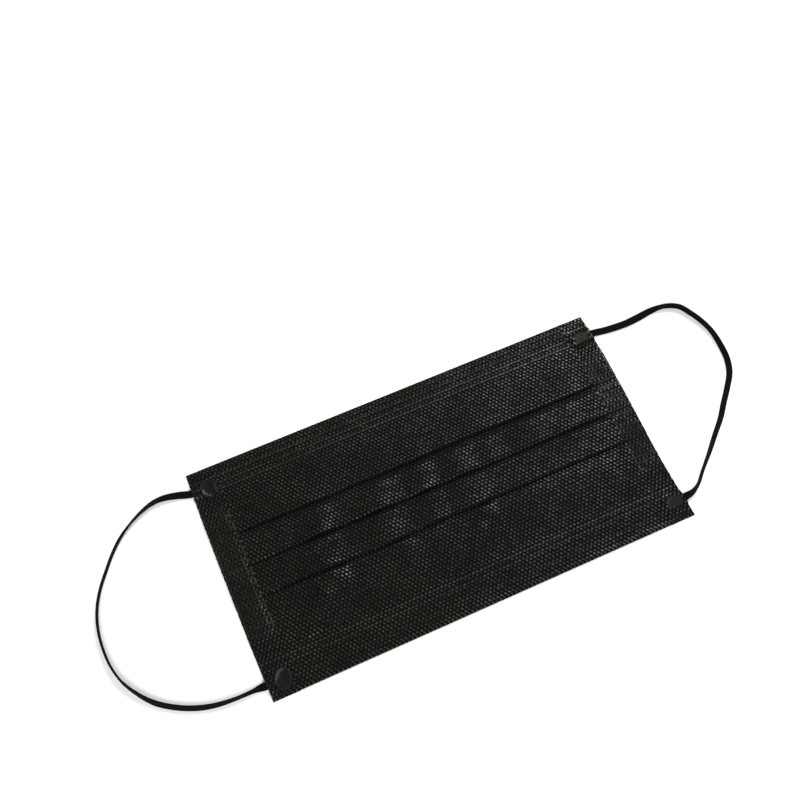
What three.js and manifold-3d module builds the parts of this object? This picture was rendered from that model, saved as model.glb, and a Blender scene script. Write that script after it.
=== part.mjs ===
// A disposable face mask, folded flat, lying on its inner side with its outer face up.
// Units are millimetres. X runs along the mask, Y towards the nose edge and Z up.
// The origin is at the middle of the mask, on the surface that it lies on.
import * as THREE from 'three';
import { mergeVertices } from 'three/addons/utils/BufferGeometryUtils.js';
import Module from 'manifold-3d';

const wasm = await Module();
wasm.setup();

// ---- driving dimensions ----

const LENGTH = 175;            // from end to end, at the corners
const HEIGHT = 95;             // from the nose edge to the chin edge
const CLOTH = 1;               // the plies of cloth together
const GAP = 0.3;               // between layers, and between neighbouring pieces
const SEAM_WIDTH = 10.5;       // welded band at each end
const SEAM_THICKNESS = 1.2;    // of that band, away from the pleats
const STATIONS = 29;           // sections along the pleated panel

const WIRE = { length: 150, width: 3, thickness: 0.6, y: 44.5 };
const HEMS = {
  top: { edge: HEIGHT / 2, depth: 11.5 },
  bottom: { edge: -HEIGHT / 2, depth: 15 },
};

// Each pleat: where its folded edge lies, and how deep the cloth is tucked in above that edge.
const PLEATS = [
  { name: 'nose', edge: 16.8, depth: 10.5 },
  { name: 'mouth', edge: 3.4, depth: 10.5 },
  { name: 'chin', edge: -10, depth: 10.5 },
];

// Soft ridges that cross the pleats. Each leans by `lean` millimetres in X for each one in Y.
const RIDGES = [
  { x: -52, halfWidth: 9, rise: 0.9, lean: 0.25 },
  { x: -25, halfWidth: 8, rise: 1.0, lean: 0.1 },
  { x: -4, halfWidth: 6, rise: 0.8, lean: 0 },
  { x: 12, halfWidth: 6, rise: 0.8, lean: 0.1 },
  { x: 30, halfWidth: 8, rise: 0.7, lean: 0.2 },
  { x: 56, halfWidth: 12, rise: 0.6, lean: 0 },
];
const RIDGE_SPAN = { top: 27, bottom: -31, fade: 11 };

// Where the cloth lies between the hems and the pleats, as heights of its middle line.
const TOP_SLOPE = [{ y: 32, level: 2.6 }];
const BOTTOM_SLOPE = [{ y: -15, level: 1.2 }, { y: -21, level: 1.7 }, { y: -27, level: 1.7 }];

// Welded band through the pleats: upper surface at the top of each pleat, at its edge and just below that.
const SEAM_STEPS = { low: 1, top: 2.9, edge: 3.1, below: 2.5, margin: 2, end: 6 };

// Cut ends of the mask: how far each stands out from the middle at a height on the mask.
const END_EDGES = [
  { y: -HEIGHT / 2, left: 87.5, right: 87.5 },
  { y: -36, left: 87.8, right: 86.9 },
  { y: -22, left: 88, right: 86.7 },
  { y: -6, left: 88, right: 87.1 },
  { y: 12, left: 88, right: 87.7 },
  { y: 28, left: 87.9, right: 88 },
  { y: HEIGHT / 2, left: 87.5, right: 87.5 },
];

// Smooth spots where the ends of the ear loops are welded on. `roundness` 2 is an oval, and more is squarer.
const WELDS = [
  { name: 'top_left', x: -80.6, y: 38.7, width: 6.2, height: 6.4, roundness: 2.3, turn: 0.2 },
  { name: 'top_right', x: 83, y: 38.7, width: 5.6, height: 4.4, roundness: 4.5, turn: -0.1 },
  { name: 'bottom_left', x: -81, y: -41.4, width: 6.8, height: 8.4, roundness: 2.4, turn: -0.3 },
  { name: 'bottom_right', x: 82.8, y: -39.6, width: 6.2, height: 4.4, roundness: 4.5, turn: -0.2 },
];
const WELD_SINK = 0.3;         // a weld spot lies lower than the band round it
const WELD_SIDES = 24;

// Flat elastic of the ear loops, and the routes of their middles over the surface.
const ELASTIC = { width: 3, thickness: 1, steps: 40 };
const LOOP_ROUTES = {
  left: [
    [-78.4, 38.7], [-83, 38.8], [-88, 39.5], [-93, 41], [-98, 42], [-102.5, 41.9], [-107, 40.6],
    [-111.8, 38.3], [-116.4, 35.3], [-120.4, 31.8], [-124.1, 27.7], [-127.8, 22.8], [-131.5, 17.7],
    [-134.5, 12.2], [-136.5, 6.5], [-137.5, 0.7], [-137.7, -5.5], [-137.1, -11.8], [-135.2, -18.4],
    [-131.7, -24.5], [-127.1, -30.1], [-121.4, -34.4], [-114.9, -37.8], [-108.1, -40],
    [-100.5, -41], [-93.5, -41.1], [-87.5, -41.1], [-82.5, -41.3], [-78.2, -41.5],
  ],
  right: [
    [78.2, 38.7], [83, 38.7], [88, 38.6], [95, 37.5], [102, 37], [109, 37.2], [116, 37.7],
    [122.1, 37.1], [127, 34.5], [129.8, 30.1], [132.2, 24.8], [133.7, 19], [133.8, 12], [133, 5.4],
    [130.6, -0.6], [126.4, -5.9], [121.7, -11.1], [117, -16.5], [111.1, -22], [105, -27.8],
    [98.9, -33.2], [94.8, -37.1], [90.7, -39.2], [86.6, -39.6], [82.5, -39.6], [78.2, -39.6],
  ],
};

const COLOURS = { cloth: 0x1b1c1a, hem: 0x191a18, weld: 0x2c2a28, elastic: 0x101013, wire: 0x9c9ea1 };

// ---- sizes worked out from them ----

const HALF_LENGTH = LENGTH / 2;
const HALF_HEIGHT = HEIGHT / 2;
const LEVEL = CLOTH + GAP;               // from one layer of cloth to the next
const TURN = LEVEL / 2;                  // radius of a fold, at the middle of the cloth
const LOW = CLOTH / 2;                   // middle of a layer on the surface
const HIGH = LOW + 2 * LEVEL;            // middle of the third layer up
const OVER_HEM = LOW + LEVEL;            // middle of the panel over a hem
const OVER_WIRE = LEVEL + WIRE.thickness + GAP + CLOTH / 2;
const SEAM_INSIDE = HALF_LENGTH - SEAM_WIDTH;
const PANEL_END = SEAM_INSIDE - GAP;
const FOLD_STEPS = 4;

// ---- shared shapes ----

const clamp01 = (value) => Math.min(1, Math.max(0, value));

function smooth(from, to, value) {
  const t = clamp01((value - from) / (to - from));
  return t * t * (3 - 2 * t);
}

// Points on an arc in a section, where a point is [y, z] and angles are in degrees.
function arc(y, z, radius, fromAngle, toAngle, steps) {
  const points = [];
  for (let i = 0; i <= steps; i += 1) {
    const angle = THREE.MathUtils.degToRad(fromAngle + ((toAngle - fromAngle) * i) / steps);
    points.push([y + radius * Math.cos(angle), z + radius * Math.sin(angle)]);
  }
  return points;
}

// Outline of a strip of even thickness on both sides of its middle line.
function thicken(middle, thickness) {
  const upper = [];
  const lower = [];
  middle.forEach(([y, z], i) => {
    const before = new THREE.Vector2(...middle[Math.max(i - 1, 0)]);
    const here = new THREE.Vector2(y, z);
    const after = new THREE.Vector2(...middle[Math.min(i + 1, middle.length - 1)]);
    const arriving = (i === 0 ? after.clone().sub(here) : here.clone().sub(before)).normalize();
    const leaving = (i === middle.length - 1 ? arriving.clone() : after.clone().sub(here)).normalize();
    const along = arriving.clone().add(leaving).normalize();
    const reach = thickness / 2 / Math.max(along.dot(arriving), 0.6);
    upper.push([y + along.y * reach, z - along.x * reach]);
    lower.push([y - along.y * reach, z + along.x * reach]);
  });
  return [...upper, ...lower.reverse()];
}

// A closed skin through rings of equally many points, with a cap on the first and the last ring.
function loft(rings) {
  const count = rings[0].length;
  const positions = rings.flat().flatMap((point) => [point.x, point.y, point.z]);
  const indices = [];
  for (let r = 0; r < rings.length - 1; r += 1) {
    for (let i = 0; i < count; i += 1) {
      const a = r * count + i;
      const b = r * count + ((i + 1) % count);
      indices.push(a, b, a + count, b, b + count, a + count);
    }
  }
  const outline = rings[0].map((point) => new THREE.Vector2(point.y, point.z));
  const last = (rings.length - 1) * count;
  THREE.ShapeUtils.triangulateShape(outline, []).forEach(([a, b, c]) => {
    const turnsLeft = THREE.ShapeUtils.isClockWise([outline[a], outline[b], outline[c]]) === false;
    const [p, q, s] = turnsLeft === (THREE.ShapeUtils.isClockWise(outline) === false) ? [a, b, c] : [c, b, a];
    indices.push(p, s, q, last + p, last + q, last + s);
  });
  const geometry = new THREE.BufferGeometry();
  geometry.setAttribute('position', new THREE.Float32BufferAttribute(positions, 3));
  geometry.setIndex(indices);
  return facingOut(geometry);
}

// The same skin with its faces turned out, if they were turned in.
function facingOut(geometry) {
  const position = geometry.getAttribute('position');
  const index = geometry.getIndex().array;
  const [a, b, c] = [new THREE.Vector3(), new THREE.Vector3(), new THREE.Vector3()];
  let volume = 0;
  for (let i = 0; i < index.length; i += 3) {
    a.fromBufferAttribute(position, index[i]);
    b.fromBufferAttribute(position, index[i + 1]);
    c.fromBufferAttribute(position, index[i + 2]);
    volume += a.dot(b.cross(c));
  }
  if (volume < 0) {
    geometry.setIndex(Array.from(index).reverse());
  }
  return geometry;
}

function toSolid(geometry) {
  const bare = geometry.clone();
  bare.deleteAttribute('normal');
  bare.deleteAttribute('uv');
  const merged = mergeVertices(bare);
  return new wasm.Manifold(new wasm.Mesh({
    numProp: 3,
    vertProperties: new Float32Array(merged.getAttribute('position').array),
    triVerts: new Uint32Array(merged.getIndex().array),
  }));
}

function fromSolid(solid) {
  const mesh = solid.getMesh();
  const geometry = new THREE.BufferGeometry();
  geometry.setAttribute('position', new THREE.Float32BufferAttribute(mesh.vertProperties, 3));
  geometry.setIndex(Array.from(mesh.triVerts));
  return geometry;
}

function named(name, geometry, colour, roughness, metalness = 0) {
  const finished = geometry.clone();
  finished.computeVertexNormals();
  const mesh = new THREE.Mesh(finished, new THREE.MeshStandardMaterial({ color: colour, roughness, metalness }));
  mesh.name = name;
  return mesh;
}

// ---- pleated panel ----

// How far the soft ridges lift the cloth at a place on the mask.
function ridgeLift(x, y) {
  const within = smooth(RIDGE_SPAN.bottom, RIDGE_SPAN.bottom + RIDGE_SPAN.fade, y)
    * (1 - smooth(RIDGE_SPAN.top - RIDGE_SPAN.fade, RIDGE_SPAN.top, y));
  const lifts = RIDGES.map((ridge) => {
    const across = (x - ridge.x - ridge.lean * y) / ridge.halfWidth;
    return Math.abs(across) < 1 ? ridge.rise * Math.cos((across * Math.PI) / 2) ** 2 : 0;
  });
  return within * lifts.reduce((sum, lift) => sum + lift, 0);
}

// Middle line of the cloth from the nose edge to the chin edge.
function panelMiddle() {
  const edgeTurn = 0.8;
  const wireFoot = WIRE.y - WIRE.width / 2;
  const middle = [
    [HALF_HEIGHT - CLOTH / 2, LEVEL],
    ...arc(HALF_HEIGHT - CLOTH / 2 - edgeTurn, OVER_WIRE - edgeTurn, edgeTurn, 0, 90, FOLD_STEPS),
    [wireFoot - 0.4, OVER_WIRE],
    [wireFoot - 1.6, OVER_HEM],
    [HEMS.top.edge - HEMS.top.depth, OVER_HEM],
    ...TOP_SLOPE.map((point) => [point.y, point.level]),
  ];
  PLEATS.forEach((pleat) => {
    const top = pleat.edge + pleat.depth;
    middle.push([top - 0.4, HIGH]);
    middle.push([(pleat.edge + top) / 2, HIGH]);
    middle.push(...arc(pleat.edge + CLOTH / 2 + TURN, HIGH - TURN, TURN, 90, 270, FOLD_STEPS));
    middle.push(...arc(top - CLOTH / 2 - TURN, LOW + TURN, TURN, 90, -90, FOLD_STEPS));
    middle.push([(pleat.edge + top) / 2, LOW]);
    middle.push([pleat.edge - 0.2, LOW]);
  });
  const hemTop = HEMS.bottom.edge + HEMS.bottom.depth;
  middle.push(...BOTTOM_SLOPE.map((point) => [point.y, point.level]));
  middle.push([hemTop - 0.5, OVER_HEM], [(hemTop - HALF_HEIGHT) / 2, OVER_HEM], [-HALF_HEIGHT, OVER_HEM]);
  return middle;
}

function pleatedPanel() {
  const outline = thicken(panelMiddle(), CLOTH);
  const rings = [];
  for (let i = 0; i < STATIONS; i += 1) {
    const x = PANEL_END * ((2 * i) / (STATIONS - 1) - 1);
    rings.push(outline.map(([y, z]) => new THREE.Vector3(x, y, z + ridgeLift(x, y))));
  }
  return loft(rings);
}

// ---- hems and nose wire ----

// The cloth turned over an edge to the inner side: a flat leaf with a rounded outer edge.
function hemLeaf({ edge, depth }) {
  const outward = Math.sign(edge);
  const round = CLOTH * 0.7;
  const corner = arc(Math.abs(edge) - round, round, round, 0, -90, FOLD_STEPS);
  const section = [
    [Math.abs(edge), CLOTH],
    ...corner,
    [Math.abs(edge) - depth, 0],
    [Math.abs(edge) - depth, CLOTH],
  ];
  const ring = (x) => section.map(([y, z]) => new THREE.Vector3(x, outward * y, z));
  return loft([ring(-PANEL_END), ring(PANEL_END)]);
}

function noseWire() {
  const radius = WIRE.width / 2;
  const reach = WIRE.length / 2 - radius;
  const shape = new THREE.Shape();
  shape.absarc(reach, 0, radius, -Math.PI / 2, Math.PI / 2, false);
  shape.absarc(-reach, 0, radius, Math.PI / 2, (3 * Math.PI) / 2, false);
  const geometry = new THREE.ExtrudeGeometry(shape, {
    depth: WIRE.thickness, bevelEnabled: false, curveSegments: 8,
  });
  return geometry.translate(0, WIRE.y, LEVEL);
}

// ---- side seams and weld spots ----

// Lower and upper surface of the welded band, where the ends of the pleats are pressed together.
function seamRows() {
  const flat = { low: LEVEL, high: LEVEL + SEAM_THICKNESS };
  const { low, top, edge, below, margin, end } = SEAM_STEPS;
  const rows = [{ y: HALF_HEIGHT, ...flat }, { y: PLEATS[0].edge + PLEATS[0].depth + margin, ...flat }];
  PLEATS.forEach((pleat) => {
    rows.push({ y: pleat.edge + pleat.depth - 1, low, high: top });
    rows.push({ y: pleat.edge, low, high: edge });
    rows.push({ y: pleat.edge - 0.5, low, high: below });
  });
  rows.push({ y: PLEATS[2].edge - end, ...flat });
  rows.push({ y: -HALF_HEIGHT, ...flat });
  return rows;
}

function endEdge(side) {
  const curve = new THREE.SplineCurve(END_EDGES.map((row) => new THREE.Vector2(row.y, row[side])));
  const points = curve.getPoints(8 * (END_EDGES.length - 1));
  return (y) => {
    const next = Math.max(1, points.findIndex((point) => point.x >= y - 1e-6));
    const [a, b] = [points[next - 1], points[next]];
    return a.y + ((b.y - a.y) * (y - a.x)) / (b.x - a.x);
  };
}

function weldShape(weld, grow) {
  const shape = new THREE.Shape();
  for (let i = 0; i < WELD_SIDES; i += 1) {
    const angle = (2 * Math.PI * i) / WELD_SIDES;
    const [c, s] = [Math.cos(angle), Math.sin(angle)];
    const power = 2 / weld.roundness;
    const x = (weld.width / 2 + grow) * Math.sign(c) * Math.abs(c) ** power;
    const y = (weld.height / 2 + grow) * Math.sign(s) * Math.abs(s) ** power;
    const turned = new THREE.Vector2(x, y).rotateAround(new THREE.Vector2(), weld.turn);
    if (i === 0) {
      shape.moveTo(weld.x + turned.x, weld.y + turned.y);
    } else {
      shape.lineTo(weld.x + turned.x, weld.y + turned.y);
    }
  }
  shape.closePath();
  return shape;
}

function sideSeam(side) {
  const outward = side === 'left' ? -1 : 1;
  const edgeAt = endEdge(side);
  const rows = [];
  const corners = seamRows();
  corners.forEach((row, i) => {
    const next = corners[i + 1];
    const steps = next ? Math.max(1, Math.round((row.y - next.y) / 5)) : 1;
    for (let k = 0; k < steps; k += 1) {
      const t = k / steps;
      rows.push(next ? {
        y: THREE.MathUtils.lerp(row.y, next.y, t),
        low: THREE.MathUtils.lerp(row.low, next.low, t),
        high: THREE.MathUtils.lerp(row.high, next.high, t),
      } : row);
    }
  });
  const section = [...rows.map((row) => [row.y, row.high]), ...rows.map((row) => [row.y, row.low]).reverse()];
  const inner = section.map(([y, z]) => new THREE.Vector3(outward * SEAM_INSIDE, y, z));
  const outer = section.map(([y, z]) => new THREE.Vector3(outward * edgeAt(y), y, z));
  let band = toSolid(loft([inner, outer]));
  WELDS.filter((weld) => Math.sign(weld.x) === outward).forEach((weld) => {
    const opening = new THREE.ExtrudeGeometry(weldShape(weld, GAP), { depth: 10, bevelEnabled: false });
    band = band.subtract(toSolid(opening.translate(0, 0, -2)));
  });
  return fromSolid(band);
}

function weldSpot(weld) {
  const geometry = new THREE.ExtrudeGeometry(weldShape(weld, 0), {
    depth: SEAM_THICKNESS - WELD_SINK, bevelEnabled: false,
  });
  return geometry.translate(0, 0, LEVEL);
}

// ---- ear loops ----

function earLoop(side) {
  const route = LOOP_ROUTES[side].map(([x, y]) => new THREE.Vector3(x, y, ELASTIC.thickness / 2));
  const [w, t] = [ELASTIC.width / 2, ELASTIC.thickness / 2];
  const bevel = t * 0.6;
  const section = new THREE.Shape([
    [-t, -w + bevel], [-t + bevel, -w], [t - bevel, -w], [t, -w + bevel],
    [t, w - bevel], [t - bevel, w], [-t + bevel, w], [-t, w - bevel],
  ].map(([up, across]) => new THREE.Vector2(up, across)));
  return new THREE.ExtrudeGeometry(section, {
    extrudePath: new THREE.CatmullRomCurve3(route), steps: ELASTIC.steps, bevelEnabled: false,
  });
}

// ---- the mask ----

const mask = new THREE.Group();
mask.name = 'disposable_face_mask';
mask.add(named('pleated_panel', pleatedPanel(), COLOURS.cloth, 0.85));
mask.add(named('top_hem', hemLeaf(HEMS.top), COLOURS.hem, 0.85));
mask.add(named('bottom_hem', hemLeaf(HEMS.bottom), COLOURS.hem, 0.85));
mask.add(named('nose_wire', noseWire(), COLOURS.wire, 0.45, 0.9));
['left', 'right'].forEach((side) => {
  mask.add(named(`side_seam_${side}`, sideSeam(side), COLOURS.cloth, 0.8));
  mask.add(named(`ear_loop_${side}`, earLoop(side), COLOURS.elastic, 0.6));
});
WELDS.forEach((weld) => {
  mask.add(named(`loop_weld_${weld.name}`, weldSpot(weld), COLOURS.weld, 0.35));
});

export default mask;
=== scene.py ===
"""The looks of a flat-folded, pleated face mask of black nonwoven cloth, lying outer face up.

Sizes are in millimetres until a mesh is made: X runs along the mask, Y towards the nose edge and Z up.
"""

import logging
import math
from dataclasses import dataclass, field
from enum import Enum
from functools import cache

import bpy
import numpy as np
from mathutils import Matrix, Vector


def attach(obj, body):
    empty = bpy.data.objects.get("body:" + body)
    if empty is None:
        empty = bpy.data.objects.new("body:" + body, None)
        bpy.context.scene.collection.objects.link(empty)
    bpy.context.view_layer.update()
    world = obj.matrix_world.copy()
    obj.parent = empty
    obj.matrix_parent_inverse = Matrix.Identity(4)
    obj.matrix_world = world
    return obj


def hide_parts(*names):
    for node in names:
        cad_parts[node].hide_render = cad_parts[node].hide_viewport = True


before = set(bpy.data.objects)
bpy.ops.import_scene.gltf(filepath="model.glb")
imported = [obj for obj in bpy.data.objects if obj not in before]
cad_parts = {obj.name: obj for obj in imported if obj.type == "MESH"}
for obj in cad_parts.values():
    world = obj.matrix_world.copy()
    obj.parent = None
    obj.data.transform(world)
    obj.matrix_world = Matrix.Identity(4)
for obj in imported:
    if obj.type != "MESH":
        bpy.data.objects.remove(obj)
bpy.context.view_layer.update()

LOG = logging.getLogger("face_mask")
MM = 0.001
TAU = 2.0 * math.pi

# The mask's measures that several pieces share: how far apart the pressed spots and their rows lie, half of
# the mask's height, where the cloth's ends are under the end bands, and where those bands begin.
PITCH = 1.645
ROW = 1.342
HALF_HEIGHT = 47.5
CLOTH_END = 76.98
BAND_START = 77.0

Array = np.ndarray
Point = tuple[float, float]
Node = bpy.types.Node
Socket = bpy.types.NodeSocket
Material = bpy.types.Material
Piece = bpy.types.Object
# A number, a vector, a colour or another node's output.
Given = object


# ---- shapes ----


def smooth(start: float, end: float, value: Array) -> Array:
    """Return 0 before start, 1 after end, and a soft step between them."""
    t = np.clip((value - start) / (end - start), 0.0, 1.0)
    return t * t * (3.0 - 2.0 * t)


def hump(distance: Array, half_width: float) -> Array:
    """Return 1 at the top of a soft hump, falling to 0 at half_width away from it."""
    t = np.clip(np.abs(distance) / half_width, 0.0, 1.0)
    return np.cos(0.5 * np.pi * t) ** 2


def lattice(x: Array, y: Array) -> Array:
    """Return 1 in the middle of each pressed spot, falling softly to 0 around it."""
    return np.clip(np.cos(TAU * x / PITCH) * np.cos(math.pi * y / ROW), 0.0, 1.0)


def direction(points: Array, axis: int) -> Array:
    """Find which way lines of points run.

    Args:
        points: a grid of points.
        axis: the grid axis that the lines follow.

    Returns:
        Unit vectors, each halfway between the steps before and after its point.
    """
    steps = np.diff(points, axis=axis)
    steps = steps / np.maximum(np.linalg.norm(steps, axis=-1, keepdims=True), 1e-9)
    first, last = np.take(steps, [0], axis), np.take(steps, [-1], axis)
    both = np.concatenate([first, steps], axis) + np.concatenate([steps, last], axis)
    return both / np.maximum(np.linalg.norm(both, axis=-1, keepdims=True), 1e-9)


def shell(middle: Array, thickness: Array | float) -> tuple[Array, Array]:
    """Give cloth its thickness.

    Args:
        middle: grid of points in the middle of the cloth, rows running from the nose edge to the chin edge.
        thickness: of the cloth, one value or one for each point.

    Returns:
        The grids of the outer and the inner face.
    """
    normal = np.cross(direction(middle, 0), direction(middle, 1))
    half = 0.5 * np.broadcast_to(thickness, middle.shape[:2])[..., None]
    return middle + normal * half, middle - normal * half


def closed_grid(name: str, upper: Array, lower: Array, cloth: Array) -> Piece:
    """Join two faces of cloth into one closed piece.

    Args:
        name: of the new piece.
        upper: grid of points on the outer face, with Y falling by rows and X rising by columns.
        lower: the matching grid on the inner face.
        cloth: where each point lies on the flat cloth, as two lengths.

    Returns:
        The new piece, with the cloth's lengths in metres in a UV layer.
    """
    rows, columns = upper.shape[:2]
    count = rows * columns
    index = np.arange(count).reshape(rows, columns)
    a, b, c, d = index[:-1, :-1], index[:-1, 1:], index[1:, 1:], index[1:, :-1]
    top = np.stack([a, d, c, b], -1).reshape(-1, 4)
    bottom = np.stack([a, b, c, d], -1).reshape(-1, 4) + count
    border = np.concatenate([index[0, :-1], index[:-1, -1], index[-1, :0:-1], index[:0:-1, 0]])
    following = np.roll(border, -1)
    rim = np.stack([border, following, following + count, border + count], -1)
    faces = np.concatenate([top, bottom, rim])
    points = np.concatenate([upper.reshape(-1, 3), lower.reshape(-1, 3)]) * MM
    flat = np.tile(cloth.reshape(-1, 2), (2, 1)) * MM
    return piece(name, points, faces, flat)


def piece(name: str, points: Array, faces: Array, flat: Array) -> Piece:
    """Make an object from points and four-sided faces.

    Args:
        name: of the new object.
        points: in metres.
        faces: four point numbers a face.
        flat: two surface coordinates in metres for each point.

    Returns:
        The object, smooth shaded with sharp edges kept.
    """
    mesh = bpy.data.meshes.new(name)
    mesh.from_pydata(points.tolist(), [], faces.tolist())
    layer = mesh.uv_layers.new(name="cloth")
    layer.data.foreach_set("uv", flat[faces.reshape(-1)].astype(np.float32).ravel())
    mesh.shade_smooth()
    mesh.set_sharp_from_angle(angle=math.radians(52.0))
    made = bpy.data.objects.new(name, mesh)
    bpy.context.scene.collection.objects.link(made)
    return made


def install(made: Piece, finish: "Finish", nodes: list[str], slot: str) -> None:
    """Dress a piece and set it in place of its CAD parts.

    Args:
        made: the piece.
        finish: what it is made of.
        nodes: the CAD parts that it stands for.
        slot: the record's material slot.
    """
    made.data.materials.append(finish.material())
    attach(made, "root")
    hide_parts(*nodes)
    LOG.info("%s: %d faces in %s", made.name, len(made.data.polygons), slot)


@dataclass(frozen=True)
class Unevenness:
    """A slow random waviness: a fixed sum of sine waves."""

    seed: int
    wavelength: float
    height: float
    waves: int = 9

    def at(self, x: Array, y: Array | float) -> Array:
        """Read the waviness.

        Args:
            x: places along the mask.
            y: places across it.

        Returns:
            The heights there, mostly within plus or minus height.
        """
        draw = np.random.default_rng(self.seed)
        total = np.zeros(np.broadcast(x, y).shape)
        for _ in range(self.waves):
            angle, phase = draw.uniform(0.0, TAU, 2)
            length = self.wavelength * draw.uniform(0.6, 1.6)
            total = total + np.sin(TAU * (x * math.cos(angle) + y * math.sin(angle)) / length + phase)
        return self.height * total / math.sqrt(self.waves)


@dataclass(frozen=True)
class Ridge:
    """A soft ridge that runs over the cloth from one point to another."""

    start: Point
    end: Point
    half_width: float
    rise: float

    def lift(self, x: Array, y: Array) -> Array:
        """Raise the cloth along the ridge.

        Args:
            x: places along the mask.
            y: places across it.

        Returns:
            How far the cloth is lifted there.
        """
        (x0, y0), (x1, y1) = self.start, self.end
        run = (x1 - x0) ** 2 + (y1 - y0) ** 2
        t = np.clip(((x - x0) * (x1 - x0) + (y - y0) * (y1 - y0)) / run, 0.0, 1.0)
        away = np.hypot(x - x0 - t * (x1 - x0), y - y0 - t * (y1 - y0))
        return self.rise * hump(away, self.half_width)


# ---- finishes ----


class Look(Enum):
    """Whether a number in a finish is a colour or a plain value."""

    COLOUR = "RGBA"
    VALUE = "FLOAT"


@dataclass
class Mixer:
    """Adds nodes to one node tree and joins them."""

    tree: bpy.types.NodeTree

    def feed(self, socket: Socket, value: Given) -> None:
        """Set an input, or join it to an output.

        Args:
            socket: the input.
            value: what goes in.
        """
        if isinstance(value, Socket):
            self.tree.links.new(value, socket)
        else:
            socket.default_value = value

    def fill(self, node: Node, inputs: dict[str | int, Given]) -> None:
        """Feed several inputs of a node, by their names or places."""
        for key, value in inputs.items():
            self.feed(node.inputs[key], value)

    def node(self, kind: str, inputs: dict[str | int, Given] | None = None, **settings: object) -> Node:
        """Add a node.

        Args:
            kind: Blender's name of the node type.
            inputs: what goes into it.
            settings: the node's own properties.

        Returns:
            The new node.
        """
        made = self.tree.nodes.new(kind)
        for name, value in settings.items():
            setattr(made, name, value)
        self.fill(made, inputs or {})
        return made

    def math(self, operation: str, *values: Given) -> Socket:
        """Return the result of Blender's operation on one to three numbers."""
        return self.node("ShaderNodeMath", dict(enumerate(values)), operation=operation).outputs[0]

    def times(self, first: Given, second: Given) -> Socket:
        """Return the product of two numbers."""
        return self.math("MULTIPLY", first, second)

    def scaled(self, value: Given, share: Given, base: Given) -> Socket:
        """Return a share of a number on top of a base."""
        return self.math("MULTIPLY_ADD", value, share, base)

    def rest(self, value: Given) -> Socket:
        """Return what a number leaves of 1."""
        return self.math("SUBTRACT", 1.0, value)

    def away(self, value: Given, middle: Given) -> Socket:
        """Return how far a number is from the middle."""
        return self.math("ABSOLUTE", self.math("SUBTRACT", value, middle))

    def step(self, value: Given, low: Given, high: Given, bottom: float = 0.0, top: float = 1.0) -> Socket:
        """Return a soft step from bottom to top, taken while the value goes from low to high."""
        inputs = {"Value": value, "From Min": low, "From Max": high, "To Min": bottom, "To Max": top}
        return self.node("ShaderNodeMapRange", inputs, interpolation_type="SMOOTHSTEP").outputs["Result"]

    def mix(self, factor: Given, first: Given, second: Given, look: Look) -> Socket:
        """Mix two colours or values.

        Args:
            factor: how much of the second there is.
            first: what there is at 0.
            second: what there is at 1.
            look: whether they are colours or values.

        Returns:
            The mixture.
        """
        offset, result = (6, 2) if look is Look.COLOUR else (2, 0)
        inputs = {0: factor, offset: first, offset + 1: second}
        return self.node("ShaderNodeMix", inputs, data_type=look.value).outputs[result]

    def noise(self, where: Given, scale: float, detail: float = 2.0) -> Socket:
        """Return soft noise with so many lumps in a metre and so many finer layers, about 0.5 on average."""
        return self.node("ShaderNodeTexNoise", {"Vector": where, "Scale": scale, "Detail": detail}).outputs["Fac"]

    def random(self, where: Given, dimensions: str) -> Node:
        """Return a node with a random value and colour for each place."""
        return self.node("ShaderNodeTexWhiteNoise", {"Vector": where}, noise_dimensions=dimensions)

    def cloth(self) -> Socket:
        """Return the place on the flat cloth, in metres."""
        return self.node("ShaderNodeUVMap", uv_map="cloth").outputs["UV"]

    def split(self, vector: Given) -> tuple[Socket, ...]:
        """Return a vector's X, Y and Z."""
        return tuple(self.node("ShaderNodeSeparateXYZ", {0: vector}).outputs)

    def join(self, *values: Given) -> Socket:
        """Return a vector made of X and Y, and of Z where it isn't 0."""
        return self.node("ShaderNodeCombineXYZ", dict(enumerate(values))).outputs[0]

    def group(self, tree: bpy.types.NodeTree, **inputs: Given) -> Node:
        """Return a node that holds the group."""
        return self.node("ShaderNodeGroup", inputs, node_tree=tree)


def new_group(
    name: str, vectors: tuple[str, ...], numbers: tuple[str, ...], results: tuple[str, ...]
) -> tuple[bpy.types.NodeTree, Mixer, Node, Node]:
    """Start a shader node group.

    Args:
        name: of the group.
        vectors: names of the inputs that are vectors.
        numbers: names of the inputs that are numbers.
        results: names of the outputs, all numbers.

    Returns:
        The group, a mixer on it, its input node and its output node.
    """
    tree = bpy.data.node_groups.new(name, "ShaderNodeTree")
    given = ((vectors, "INPUT", "Vector"), (numbers, "INPUT", "Float"))
    for sockets, in_out, kind in (*given, (results, "OUTPUT", "Float")):
        for socket in sockets:
            tree.interface.new_socket(name=socket, in_out=in_out, socket_type="NodeSocket" + kind)
    mixer = Mixer(tree)
    return tree, mixer, mixer.node("NodeGroupInput"), mixer.node("NodeGroupOutput")


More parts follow.
